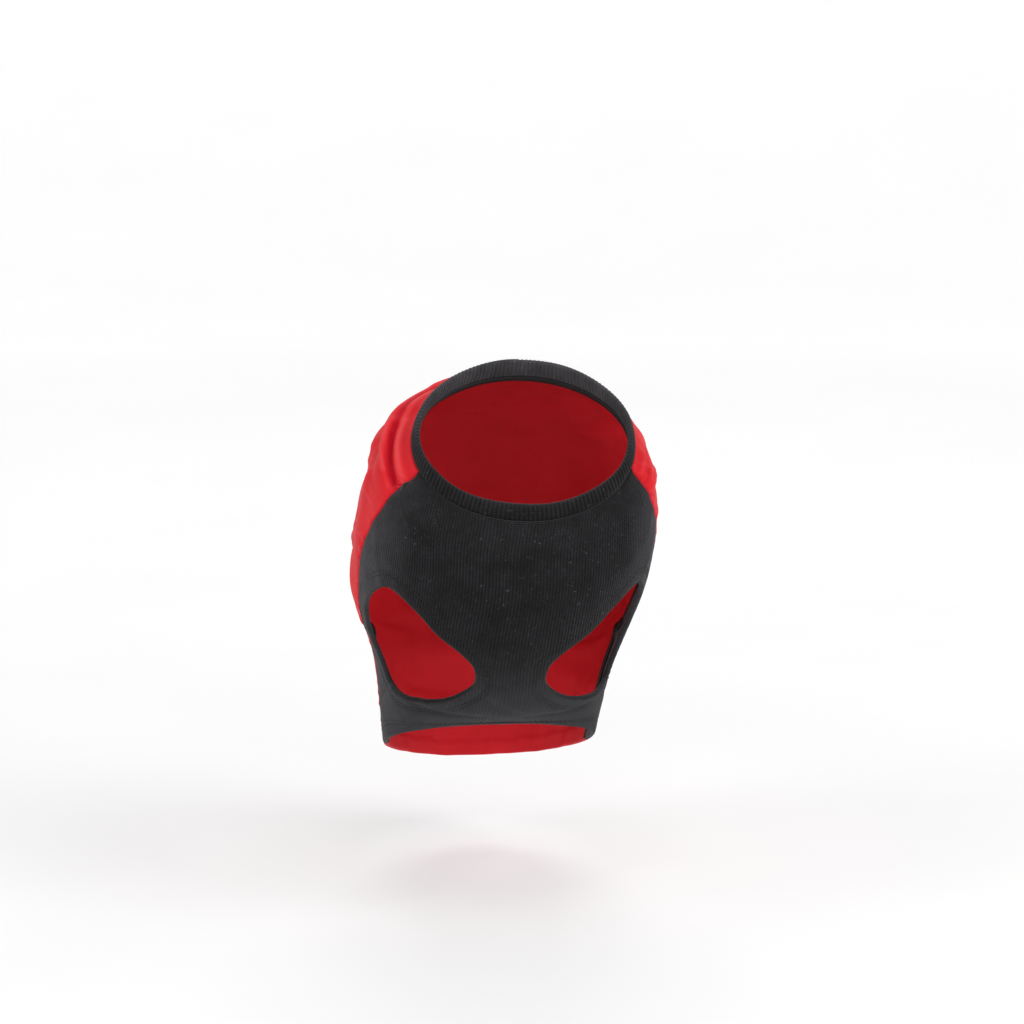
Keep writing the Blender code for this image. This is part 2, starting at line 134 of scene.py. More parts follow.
# Finer creases. Columns: name, from_angle, from_station, to_angle, to_station, bow (how far the
# middle of the run bends down the cloth), upper_width (towards the neck), lower_width, height.
FINE_FOLDS = (
    # Left shoulder, where the photograph shows the cloth bunched under the neck.
    ("left_collar_ridge", -112, 8.5, -70, 9.2, 0, 2.8, 1.4, 1.6),
    ("left_collar_valley", -110, 11.3, -73.5, 12.1, 0, 1.1, 3.6, -2),
    ("left_roll_crest", -114, 14.2, -84, 15.6, 0, 1.6, 1.4, 1.6),
    ("left_under_roll", -112, 16, -96.5, 17.8, -0.4, 1, 5.6, -1.7),
    ("left_side_pocket", -104, 21.5, -97, 23.5, 0, 3.6, 4, -1.1),
    ("left_seam_spot", -77, 12.2, -73.5, 13.2, 0, 1.4, 1.6, -0.6),
    ("left_side_glint", -94, 29, -95, 52, 1, 3, 4.5, 0.6),
    ("left_side_streak", -89, 35.2, -75.5, 31.5, 0.6, 1.3, 2.2, 0.4),
    ("left_side_hollow", -88, 28, -79, 26.2, 0.4, 2, 2.6, -0.4),
    ("left_low_streak", -92, 61, -78, 52, 1.2, 2.2, 3.4, 0.4),
    # Black front.
    ("left_chest_crest", -70, 11.6, -50.5, 21.6, -0.8, 1, 1.4, 0.9),
    ("left_chest_hollow", -66, 10, -50, 18, -0.8, 2.2, 1.6, -0.4),
    ("left_chest_swell", -70, 40, -44, 48, 2, 9, 7, 0.5),
    ("right_chest_swell", 66, 30, 40, 42, 2, 8, 7, 0.5),
    ("left_armhole_drag", -56, 61, -66, 44, 1, 3, 5, 0.5),
    ("right_armhole_drag", 56, 61, 65, 46, 1, 3, 5, 0.5),
    ("left_belly_drag", -34, 156, -8, 168, 1, 3, 5.5, -0.6),
    ("right_belly_drag", 38, 157, 10, 169, 1, 3, 5, -0.6),
    ("belly_drag", -6, 142, 4, 164, 1, 4, 6, -0.4),
    ("left_flank_drag", -66, 148, -88, 162, 1, 3, 5, -0.7),
    ("right_flank_drag", 66, 149, 88, 164, 1, 3, 5, -0.6),
    # Right shoulder.
    ("right_collar_ridge", 84, 8, 73, 8.8, 0, 2, 1.6, 0.6),
    ("right_seam_valley", 90, 12, 74.5, 13.8, 0, 1.2, 2, -0.8),
    ("right_seam_ridge", 94, 26.2, 71, 19.6, 0.4, 1.8, 1.5, 1),
    ("right_under_ridge", 92, 31, 74, 24.5, 0.4, 1.3, 3.6, -1),
    ("right_long_crease", 80, 5, 84, 20, 0.4, 1.6, 2, 0.4),
    ("right_low_streak", 94, 48, 76, 40, 1, 2.2, 3.4, 0.5),
    # Nape and withers, bunched like the left shoulder.
    ("nape_right_ridge", 116, 8.4, 178, 7.2, 1, 2.4, 1.8, 1.1),
    ("nape_left_ridge", 192, 8.2, 246, 9, 0.8, 2.4, 1.8, 1),
    ("nape_right_valley", 122, 12.2, 188, 11.2, 1.4, 1.3, 3.4, -1.5),
    ("nape_left_valley", 180, 14.2, 246, 12, -1, 1.4, 3.4, -1.5),
    ("nape_roll_crest", 140, 18.6, 212, 18.2, 2, 3.8, 2, 1.3),
    ("nape_under_roll", 136, 22.6, 200, 22.2, 2.2, 1.6, 5.6, -1.6),
    ("nape_left_fold", 204, 26, 244, 20, 1.6, 1.6, 4.6, -1.2),
    ("withers_crest", 160, 34.5, 232, 31.5, 3, 5.6, 2.6, 1.2),
    ("withers_valley", 152, 39.2, 226, 37.6, 3.2, 2, 7, -1.5),
    ("right_blade_crest", 106, 24, 150, 44, -2, 4.6, 2.4, 1.1),
    ("right_blade_valley", 104, 29, 147, 49, -2, 1.8, 5.6, -1.3),
    ("left_blade_crest", 254, 33, 216, 56, 2, 5, 2.6, 1.1),
    ("left_blade_valley", 252, 39, 218, 61, 2, 2, 6, -1.3),
    # Back, flanks and rump.
    ("left_back_crest", 176, 80, 234, 66, 3.6, 6.6, 3.4, 1.2),
    ("left_back_valley", 172, 87, 236, 73.5, 3.6, 2.6, 8, -1.3),
    ("right_back_crest", 122, 93, 172, 86, 3, 6, 3.4, 1),
    ("right_back_valley", 124, 98.5, 170, 92.5, 3, 2.6, 7, -1.1),
    ("right_flank_crest", 100, 56, 128, 76, 2, 5, 2.8, 0.9),
    ("right_flank_valley", 99, 62, 126, 81.5, 2, 2, 6, -1),
    ("left_flank_crest", 262, 64, 236, 88, 2.4, 5.2, 2.8, 0.9),
    ("left_flank_valley", 264, 70, 238, 94, 2.4, 2, 6.2, -1),
    ("left_elbow_crest", 276, 112, 246, 93, -2, 3.4, 2, 0.7),
    ("left_elbow_valley", 275, 118, 244, 98, -2, 1.8, 4.6, -0.9),
    ("right_elbow_crest", 84, 114, 112, 99, -2, 3.4, 2, 0.6),
    ("right_elbow_valley", 86, 120, 116, 104, -2, 1.8, 4.6, -0.8),
    ("loin_crest", 148, 113, 212, 119, 3.4, 6.2, 3.4, 0.9),
    ("loin_valley", 146, 119, 214, 124.5, 3.4, 2.6, 7.6, -1.2),
    ("left_loin_fold", 214, 133, 248, 118, 2, 2.4, 5.6, -1),
    ("right_loin_fold", 112, 130, 150, 142, 2.4, 2.4, 6, -1),
    ("spine_hollow", 183, 96, 192, 150, 2, 7, 5, -0.6),
    ("rump_crest", 158, 163, 208, 159, 3, 5.6, 3.2, 0.8),
    ("rump_valley", 156, 168.5, 206, 164, 3, 2.4, 6.6, -1),
    ("hem_right_wave", 136, 164, 140, 193, 1, 8, 6, 0.9),
    ("hem_right_dip", 154, 172, 156, 193, 1, 6, 6, -0.9),
    ("hem_middle_wave", 174, 174, 172, 193, 1, 7, 6, 0.8),
    ("hem_left_dip", 196, 170, 192, 193, 1, 6, 7, -0.9),
    ("hem_left_wave", 218, 164, 212, 193, 1, 8, 6, 0.9),
)
# Share of its height that a main fold loses along its run.
FOLD_RUN_OUT = 0.6
# A finer crease is this high at its ends, and swells by the next share in between.
CREASE_END = 0.55
CREASE_SWELL = 0.45
CREASE_SWELL_START = 0.15
CREASE_SWELL_SPAN = 0.8

# --- Detail of the cloth ---

# Ribs of the knit, and the spacing of the mesh's points on the panels and along their edges.
RIB_PITCH = 0.0015
RIB_HEIGHT = 0.00010
RIB_SAMPLES = 4
FRONT_ROW_STEP = 0.0017
BACK_STEP = 0.00125
EDGE_SPACING = 0.0009
EDGE_INSETS = (0.00025, 0.00065, 0.0012)
INSET_CLEARANCE = 0.8
FIELD_CLEARANCE = 0.0018
MERGE_DISTANCE = 1e-6

# How far in from seams and turned edges the cloth is rolled, and how deep.
SEAM_ROLL = 0.0015
SEAM_SINK = 0.0011
TURNED_ROLL = TURNED_WALL / 2
TURNED_SINK = 0.9 * TURNED_ROLL
PUCKER_PITCH = 0.0082
# Puckers wander by two waves, each with a size and a length, and grow and fade by one, with a mean,
# a swing, a length and a start.
PUCKER_WANDER = ((1.3, 0.031), (0.8, 0.0137))
PUCKER_STRENGTH = (0.65, 0.35, 0.053, 1.0)
PUCKER_REACH = 0.006
FRONT_PUCKER = 0.00010
BACK_PUCKER = 0.00032
# Distance from the front's middle line at which the painted sheen on the sides is full.
SIDE_SHEEN_ACROSS = 0.110
# How far round a place its crease is judged, and the heights that count as fully hollow; the rating sets
# the red cloth's painted shade and highlight.
HOLLOW_REACH = 0.0032
HOLLOW_DEPTH = 0.0012
CREASE_DEPTH = 0.0028
UNEVEN_SIZE = 0.017
UNEVEN_HEIGHT = 0.00028

# Distances of the stitch lines from the edge.
STITCH_LINES = (0.0058, 0.0076)
STITCH_PITCH = 0.0028
STITCH_LENGTH = 0.0021
STITCH_RADIUS = 0.00021
STITCH_SIDES = 6
# Columns: place along the stitch as a share of its length, then radius and lift in thread radii.
STITCH_PROFILE = ((-0.5, 0.55, -1.4), (-0.25, 0.95, 0.1), (0.0, 1.0, 0.5), (0.25, 0.95, 0.1),
                  (0.5, 0.55, -1.4))
STITCH_GROOVE = 0.00014
STITCH_SINK = 0.6 * STITCH_GROOVE
GROOVE_WIDTH = 0.0009

BAND_HEIGHT = 0.0090
BAND_RIB_PITCH = 0.0021
BAND_RIB_HEIGHT = 0.00022
BAND_RIB_SAMPLES = 6
BAND_RIB_FADE = 0.8
BAND_RIB_FADE_POWER = 6
# Section of the neck band. Columns: station, distance out from the tube.
BAND_SECTION = (
    (0.0002, -0.0009), (-0.0003, -0.0002), (-0.0012, 0.0003), (-0.0028, 0.0006),
    (-0.0048, 0.0006), (-0.0066, 0.0005), (-0.0080, 0.0002), (-0.0088, -0.0004),
    (-0.0090, -0.0010), (-0.0088, -0.0016), (-0.0080, -0.0021), (-0.0066, -0.0023),
    (-0.0048, -0.0024), (-0.0028, -0.0023), (-0.0010, -0.0021), (0.0002, -0.0018),
)
BAND_OUTER_ROW = 3
# The band's free edge sways up and down by one wave, and in and out by a slower one.
BAND_SWAY = 0.0003
BAND_SWAY_LENGTH = 0.046
BAND_LIFT_RATE = 0.63
BAND_LIFT_START = 1.0

ALLOWANCE_WIDTH = 0.0052
ALLOWANCE_STEP = 0.0004
ALLOWANCE_PITCH = 0.0016
ALLOWANCE_RIDGE = 0.00012
ALLOWANCE_TOP = 0.0010
ALLOWANCE_CLEARANCE = 0.00025
ALLOWANCE_PLACES = 400
ALLOWANCE_HEM_GAP = 0.001
# Columns: distance from the seam line, and height as a share of the allowance's thickness.
ALLOWANCE_PROFILE = ((-0.0006, 0.5), (0.0000, 0.95), (0.0018, 1.0), (0.0036, 1.0), (0.0048, 0.8),
                     (ALLOWANCE_WIDTH, 0.35))

# --- Camera and room ---

CAMERA_AZIMUTH = -5.0
CAMERA_ELEVATION = 10.0
CAMERA_DISTANCE = 1.6
SENSOR_WIDTH = 36.0
PICTURE_PIXELS = 1024
METRES_PER_PIXEL = 0.00046
LOOK_AT = (0.0030, -0.0150, 0.1010)
FLOOR_BELOW_HEM = 0.040
BACKDROP_RADIUS = 3.4
BACKDROP_HEIGHT = 2.4
BACKDROP_BEND = 0.9
BACKDROP_SIDES = 96
BACKDROP_BEND_RINGS = 13
BACKDROP_MIDDLE = 0.02

# Columns: name, azimuth, elevation, distance, width, height, watts.
LIGHTS = (
    ("front_top_softbox", 6.0, 58.0, 1.5, 0.7, 0.5, 5.0),
    ("left_softbox", -62.0, 30.0, 1.5, 0.5, 0.9, 5.6),
    ("right_softbox", 50.0, 38.0, 1.5, 0.60, 0.70, 10.0),
    ("back_softbox", 176.0, 48.0, 1.6, 0.9, 0.6, 8.0),
)
WORLD_STRENGTH = 0.25
# Glow of the backdrop: the share of its radius, and the strength there.
NEAR_GLOW = (0.08, 0.33)
FAR_GLOW = (0.62, 0.60)


# --- Surface ---

def smooth_curve(known_at, known, at):
    """Read a smooth curve through known values, with the slope of the table at each row."""
    slopes = np.gradient(known, known_at)
    at = np.asarray(at, dtype=float)
    row = np.clip(np.searchsorted(known_at, at, side="right") - 1, 0, len(known) - 2)
    span = known_at[row + 1] - known_at[row]
    part = (at - known_at[row]) / span
    start = (2 * part**3 - 3 * part**2 + 1) * known[row]
    start_slope = (part**3 - 2 * part**2 + part) * span * slopes[row]
    end = (3 * part**2 - 2 * part**3) * known[row + 1]
    end_slope = (part**3 - part**2) * span * slopes[row + 1]
    return start + start_slope + end + end_slope


def unit(vectors):
    """Return vectors at length one."""
    return vectors / np.linalg.norm(vectors, axis=-1, keepdims=True)


def distance_along(points):
    """Return how far each point is along a line of points."""
    return np.concatenate([[0.0], np.cumsum(np.linalg.norm(np.diff(points, axis=0), axis=1))])


def ring_stations():
    """Work out each ring's station: the mean of its distances down the chest and back lines."""
    total = np.zeros(len(RINGS))
    for side in ("chest", "back"):
        y, z = RING_VALUES[side + "_y"], RING_VALUES[side + "_z"]
        total[1:] += np.cumsum(np.hypot(np.diff(y), np.diff(z))) / 2
    return total - total[NECK_ROW]


STATIONS = ring_stations()
HEM_STATION = STATIONS[-1]


def ring_value(name, station):
    """Return a column of the ring table at any station."""
    return smooth_curve(STATIONS, RING_VALUES[name], station)


def tube_point(angle, station):
    """Return the plain tube's outer face, without folds."""
    turn = np.radians(angle)
    chest_y, chest_z = ring_value("chest_y", station), ring_value("chest_z", station)
    back_y, back_z = ring_value("back_y", station), ring_value("back_z", station)
    depth = np.hypot(back_y - chest_y, back_z - chest_z)
    half_depth = depth / 2
    power = ring_value("fullness", station)
    along = np.abs(np.cos(turn) / half_depth) ** power
    across = np.abs(np.sin(turn) / ring_value("half_width", station)) ** power
    radius = (along + across) ** (-1 / power)
    sideways = radius * np.sin(turn) * (1 - ring_value("keel", station) * np.cos(turn))
    backwards = -radius * np.cos(turn) / depth
    x = ring_value("centre_x", station) + sideways
    y = (chest_y + back_y) / 2 + backwards * (back_y - chest_y)
    z = (chest_z + back_z) / 2 + backwards * (back_z - chest_z)
    return np.stack([x, y, z], axis=-1)


def face_normal(surface, angle, station):
    """Return the outward normal of a surface given as a function of angle and station."""
    probe_angle = math.degrees(PROBE / SPREAD)
    round_ring = surface(angle + probe_angle, station) - surface(angle - probe_angle, station)
    down_cloth = surface(angle, station + PROBE) - surface(angle, station - PROBE)
    return unit(np.cross(down_cloth, round_ring))


def angle_between(first, second):
    """Return first minus second, taken the short way round."""
    return (first - second + 180.0) % 360.0 - 180.0


def rows_in_metres(folds):
    """Go through a table of folds without its names, and with its millimetres made metres."""
    for _, from_angle, from_station, to_angle, to_station, *sizes in folds:
        yield (from_angle, from_station / 1000, to_angle, to_station / 1000,
               *(size / 1000 for size in sizes))


def fold_offsets(angle, station, from_angle, from_station):
    """Return how far a place is from a fold's start, round the ring and down the cloth."""
    return np.radians(angle_between(angle, from_angle)) * SPREAD, station - from_station


def fold_height(folds, angle, station):
    """Add up folds: each fades across its width and along its run."""
    height = np.zeros(np.broadcast(angle, station).shape)
    for from_angle, from_station, to_angle, to_station, width, crest in rows_in_metres(folds):
        run = np.array(fold_offsets(to_angle, to_station, from_angle, from_station))
        x, y = fold_offsets(angle, station, from_angle, from_station)
        along = np.clip((x * run[0] + y * run[1]) / run.dot(run), 0.0, 1.0)
        distance = np.hypot(x - along * run[0], y - along * run[1])
        fade = 1 - FOLD_RUN_OUT * along**2
        height += crest * fade * np.exp(-2 * (distance / width) ** 2)
    return height


def crease_height(angle, station):
    """Add up the finer creases: each may bow, and be steep on one side and soft on the other."""
    height = np.zeros(np.broadcast(angle, station).shape)
    for from_angle, from_station, to_angle, to_station, *sizes in rows_in_metres(FINE_FOLDS):
        bow, upper, lower, crest = sizes
        run = np.array(fold_offsets(to_angle, to_station, from_angle, from_station))
        length = np.hypot(*run)
        down = np.array([-run[1], run[0]]) / length * (1 if run[0] >= 0 else -1)
        x, y = fold_offsets(angle, station, from_angle, from_station)
        along = (x * run[0] + y * run[1]) / length**2
        kept = np.clip(along, 0.0, 1.0)
        sideways = x * down[0] + y * down[1] - 4 * bow * kept * (1 - kept)
        beyond = (along - kept) * length
        width = np.where(sideways > 0, lower, upper)
        ends = np.exp(-2 * (beyond / (upper + lower)) ** 2)
        turn = np.clip(CREASE_SWELL_START + CREASE_SWELL_SPAN * kept, 0.0, 1.0) * math.pi
        swell = CREASE_END + CREASE_SWELL * np.sin(turn)
        height += crest * swell * ends * np.exp(-2 * (sideways / width) ** 2)
    return height


def hollowness(angle, station):
    """Rate places from -1, deep in a crease, to 1, on top of a fold; the red cloth paints shade and
    highlight by it.
    """
    turn = math.degrees(HOLLOW_REACH / SPREAD)
    here = crease_height(angle, station)
    around = crease_height(angle + turn, station) + crease_height(angle - turn, station)
    around += crease_height(angle, station + HOLLOW_REACH) + crease_height(angle, station - HOLLOW_REACH)
    return np.clip((here - around / 4) / HOLLOW_DEPTH + here / CREASE_DEPTH, -1.0, 1.0)


def raised(angle, station, height):
    """Return the tube's outer face moved out by a height."""
    return tube_point(angle, station) + face_normal(tube_point, angle, station) * height[..., None]


def solid_point(angle, station):
    """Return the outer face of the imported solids, main folds included."""
    return raised(angle, station, fold_height(MAIN_FOLDS, angle, station))


HOLD_NORMAL = face_normal(solid_point, HOLD_ANGLE, HOLD_STATION)
ORIGIN = solid_point(HOLD_ANGLE, HOLD_STATION) - WALL * HOLD_NORMAL


def cloth_point(angle, station):
    """Return the outer face of the cloth in the shared frame, all folds included."""
    height = fold_height(MAIN_FOLDS + SWELLS, angle, station) + crease_height(angle, station)
    return raised(angle, station, height) - ORIGIN


def seam_angle(station):
    """Return the angle of the side seam at a station."""
    return smooth_curve(*np.array(SEAM).T, station)


def step_on_cloth(angle, station, direction, distance):
    """Move places on the cloth by a distance in a direction of space; return their new places."""
    across = cloth_point(angle + 0.5, station) - cloth_point(angle - 0.5, station)
    down = (cloth_point(angle, station + PROBE) - cloth_point(angle, station - PROBE)) / (2 * PROBE)
    aa, ad, dd = (across * across).sum(-1), (across * down).sum(-1), (down * down).sum(-1)
    ta, td = (direction * across).sum(-1), (direction * down).sum(-1)
    scale = distance / (aa * dd - ad * ad)
    return angle + scale * (ta * dd - td * ad), station + scale * (td * aa - ta * ad)


# --- Flat charts of the panels ---

CHART_COLUMNS = 721
CHART_ROWS = 240
CHART_TURNS = np.linspace(-180.0, 180.0, CHART_COLUMNS)
CHART_STATIONS = np.linspace(-BAND_HEIGHT, HEM_STATION, CHART_ROWS)


def make_chart(middle):
    """Return a chart: distance round the cloth from a middle line, by station and turn."""
    turn, station = np.meshgrid(CHART_TURNS, CHART_STATIONS)
    points = tube_point(middle + turn, station)
    steps = np.linalg.norm(np.diff(points, axis=1), axis=2)
    distance = np.concatenate([np.zeros((len(station), 1)), np.cumsum(steps, axis=1)], axis=1)
    return middle, distance - distance[:, [CHART_COLUMNS // 2]]


def chart_rows(station):
    """Return the chart row at or above each station, and how far it is towards the next."""
    place = (station - CHART_STATIONS[0]) / (CHART_STATIONS[1] - CHART_STATIONS[0])
    row = np.clip(place.astype(int), 0, CHART_ROWS - 2)
    return row, place - row


def to_chart(chart, angle, station):
    """Return the distance round the cloth from the chart's middle line."""
    middle, distance = chart
    row, part = chart_rows(station)
    place = (angle_between(angle, middle) - CHART_TURNS[0]) / (CHART_TURNS[1] - CHART_TURNS[0])
    turn = np.clip(place.astype(int), 0, CHART_COLUMNS - 2)
    rest = place - turn
    upper = distance[row, turn] * (1 - rest) + distance[row, turn + 1] * rest
    lower = distance[row + 1, turn] * (1 - rest) + distance[row + 1, turn + 1] * rest
    return upper * (1 - part) + lower * part


def from_chart(chart, distance, station):
    """Return the angle of places given by their distance from the chart's middle line."""
    middle, table = chart
    row, part = chart_rows(station)
    angle = np.zeros(len(distance))
    for number in np.unique(row):
        here = row == number
        upper = np.interp(distance[here], table[number], CHART_TURNS)
        lower = np.interp(distance[here], table[number + 1], CHART_TURNS)
        angle[here] = upper * (1 - part[here]) + lower * part[here]
    return middle + angle


# --- Outlines and flat meshes ---

def even_loop(angle, station, spacing):
    """Space the points of a closed loop on the cloth evenly; return angles and stations."""
    places = np.stack([angle, station], axis=-1)
    places = np.concatenate([places, places[:1]])
    run = distance_along(cloth_point(places[:, 0], places[:, 1]))
    at = np.linspace(0.0, run[-1], round(run[-1] / spacing) + 1)[:-1]
    return np.interp(at, run, places[:, 0]), np.interp(at, run, places[:, 1])


def armhole_loop(side, spacing):
    """Return the armhole's edge as evenly spaced angles and stations (side is +1 or -1)."""
    corners = np.array(ARMHOLE) * (side, 1)
    fine = []
    for index, point in enumerate(corners):
        before = corners[index - 1]
        following = corners[(index + 1) % len(corners)]
        beyond = corners[(index + 2) % len(corners)]
        for part in np.arange(ARMHOLE_PARTS) / ARMHOLE_PARTS:
            pull = following - before
            bend = 2 * before - 5 * point + 4 * following - beyond
            twist = 3 * point - before - 3 * following + beyond
            fine.append(point + (pull * part + bend * part**2 + twist * part**3) / 2)
    fine = np.array(fine)
    return even_loop(fine[:, 0], fine[:, 1], spacing)


def panel_sides(first_angle, last_angle):
    """Return a panel's four edges as (angles, stations), in order round its outline."""
    seam_count = round(HEM_STATION / EDGE_SPACING)
    stations = np.linspace(SEAM_GAP / 2, HEM_STATION, seam_count)
    sides = [(first_angle(stations), stations)]
    for station, start, end in ((HEM_STATION, first_angle, last_angle),
                                (SEAM_GAP / 2, last_angle, first_angle)):
        span = abs(end(station) - start(station))
        count = round(math.radians(span) * SPREAD / EDGE_SPACING)
        turns = np.linspace(start(station), end(station), count)
        sides.append((turns, np.full(count, station)))
    sides.insert(2, (last_angle(stations[::-1]), stations[::-1]))
    return sides


def is_inside(loop, points):
    """Say for each flat point whether it is inside a closed loop."""
    inside = np.zeros(len(points), dtype=bool)
    for start, end in zip(loop, np.roll(loop, -1, axis=0)):
        crosses = (start[1] > points[:, 1]) != (end[1] > points[:, 1])
        rise = np.where(crosses, end[1] - start[1], 1.0)
        reach = start[0] + (points[:, 1] - start[1]) * (end[0] - start[0]) / rise
        inside ^= crosses & (points[:, 0] < reach)
    return inside


def nearest(tree_points, points):
    """Return each point's distance to the nearest of some other points."""
    tree = KDTree(len(tree_points))
    for number, point in enumerate(tree_points):
        tree.insert(point, number)
    tree.balance()
    return np.array([tree.find(point)[2] for point in points])


def inset_points(chart, loops):
    """Return rows of chart points just inside the edges, so that the edges can be rounded."""
    rows = []
    for angle, station in loops:
        edge = cloth_point(angle, station)
        run = np.roll(edge, -1, axis=0) - np.roll(edge, 1, axis=0)
        sideways = unit(np.cross(run, face_normal(cloth_point, angle, station)))
        for inset in EDGE_INSETS:
            for direction in (sideways, -sideways):
                new_angle, new_station = step_on_cloth(angle, station, direction, inset)
                rows.append((inset, np.stack([to_chart(chart, new_angle, new_station),
                                              new_station], axis=-1)))
    return rows


def flat_mesh(chart, outline, holes, step_across, step_down):
    """Fill a panel with triangles on its chart. Returns chart points and triangles."""
    loops = [np.stack([to_chart(chart, *loop), loop[1]], axis=-1) for loop in (outline, *holes)]
    boundary = np.concatenate(loops)
    low, high = loops[0].min(axis=0), loops[0].max(axis=0)
    first_column = math.ceil(low[0] / step_across)
    across = np.arange(first_column, high[0] / step_across) * step_across
    down = np.linspace(low[1], high[1], round((high[1] - low[1]) / step_down) + 1)[1:-1]
    field = np.stack(np.meshgrid(across, down), axis=-1).reshape(-1, 2)

    def kept(points, clearance):
        inside = is_inside(loops[0], points)
        for loop in loops[1:]:
            inside &= ~is_inside(loop, points)
        points = points[inside]
        flat = np.column_stack([points, np.zeros(len(points))])
        edge = np.column_stack([boundary, np.zeros(len(boundary))])
        return points[nearest(edge, flat) > clearance]

    rings = [kept(points, inset * INSET_CLEARANCE)
             for inset, points in inset_points(chart, (outline, *holes))]
    points = np.concatenate([boundary, *rings, kept(field, FIELD_CLEARANCE)])
    edges = []
    first = 0
    for loop in loops:
        edges += [(first + i, first + (i + 1) % len(loop)) for i in range(len(loop))]
        first += len(loop)
    scaled = [Vector((x / step_across, y / step_down)) for x, y in points]
    made, _, triangles, *_ = delaunay_2d_cdt(scaled, edges, [], 1, MERGE_DISTANCE)
    points = np.array([(p.x * step_across, p.y * step_down) for p in made])
    triangles = np.array(triangles)
    middles = points[triangles].mean(axis=1)
    for loop in loops[1:]:
        triangles = triangles[~is_inside(loop, middles)]
        middles = points[triangles].mean(axis=1)
    return points, triangles


# --- Relief ---

def unevenness(points):
    """Return a soft, uneven swell for points in space."""
    return np.array([noise.noise(Vector(point) / UNEVEN_SIZE) for point in points]) * UNEVEN_HEIGHT


def puckers(along, distance, height):
    """Return seam puckers: a wave along the seam that fades away from it, unevenly spaced."""
    wander = sum(size * np.sin(2 * math.pi * along / length) for size, length in PUCKER_WANDER)
    mean, swing, length, start = PUCKER_STRENGTH
    strength = mean + swing * np.sin(2 * math.pi * along / length + start)
    wave = np.sin(2 * math.pi * along / PUCKER_PITCH + wander)
    return height * strength * wave * np.exp(-(distance / PUCKER_REACH) ** 2)


def rounding(distance, roll, sink):
    """Return how far a face drops towards an edge that is rounded over a given roll."""
    near = np.clip(1 - distance / roll, 0.0, 1.0)
    return sink * (1 - np.sqrt(1 - near**2))


def grooves(distance):
    """Return the grooves that lines of stitches pull into a turned edge."""
    depth = np.zeros(len(distance))
    for line in STITCH_LINES:
        depth += STITCH_GROOVE * np.exp(-((distance - line) / GROOVE_WIDTH) ** 2)
    return depth


def ribs(across, pitch, height):
    """Return the ribs of a knit as rounded ridges."""
    return height * np.cos(2 * math.pi * across / pitch)


def rib_crests(across, pitch):
    """Return 1 on top of each rib and 0 between two."""
    return 0.5 + ribs(across, pitch, 0.5)


# --- Meshes ---

def add_object(name, data):
    """Add an object to the scene."""
    made = bpy.data.objects.new(name, data)
    bpy.context.scene.collection.objects.link(made)
    return made


def add_piece(name, points, faces, material):
    """Add a smooth mesh that rides on the coat's body."""
    mesh = bpy.data.meshes.new(name)
    mesh.from_pydata(np.asarray(points).tolist(), [], faces)
    mesh.validate()
    mesh.materials.append(material)
    mesh.shade_smooth()
    piece = add_object(name, mesh)
    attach(piece, "root")
    return piece


def tube_faces(rings, sides, closed=False, first=0):
    """Return the faces between neighbouring rings of points; closed joins the last to the first."""
    faces = []
    for ring in range(rings if closed else rings - 1):
        near, far = first + ring * sides, first + (ring + 1) % rings * sides
        for side in range(sides):
            beside = (side + 1) % sides
            faces.append((near + side, near + beside, far + beside, far + side))
    return faces


def turn_faces_out(piece):
    """Turn a closed mesh's faces so that they all point out."""
    work = bmesh.new()
    work.from_mesh(piece.data)
    bmesh.ops.recalc_face_normals(work, faces=work.faces)
    work.to_mesh(piece.data)
    work.free()


def add_cloth_map(piece, places):
    """Store each point's place on the cloth, in metres, as a UV map for the weave and the knit."""
    mesh = piece.data
    layer = mesh.uv_layers.new(name="cloth")
    corners = np.zeros(len(mesh.loops), dtype=np.int32)
    mesh.loops.foreach_get("vertex_index", corners)
    layer.data.foreach_set("uv", places[corners].astype(np.float32).ravel())


def add_value(piece, name, values):
    """Store one number for each point."""
    attribute = piece.data.attributes.new(name, "FLOAT", "POINT")
    attribute.data.foreach_set("value", np.asarray(values, dtype=np.float32))


def boundary_edges(triangles):
    """Return the directed edges that only one triangle uses."""
    edges = np.concatenate([triangles[:, [0, 1]], triangles[:, [1, 2]], triangles[:, [2, 0]]])
    ordered = np.sort(edges, axis=1)
    _, index, count = np.unique(ordered, axis=0, return_index=True, return_counts=True)
    return edges[index[count == 1]]


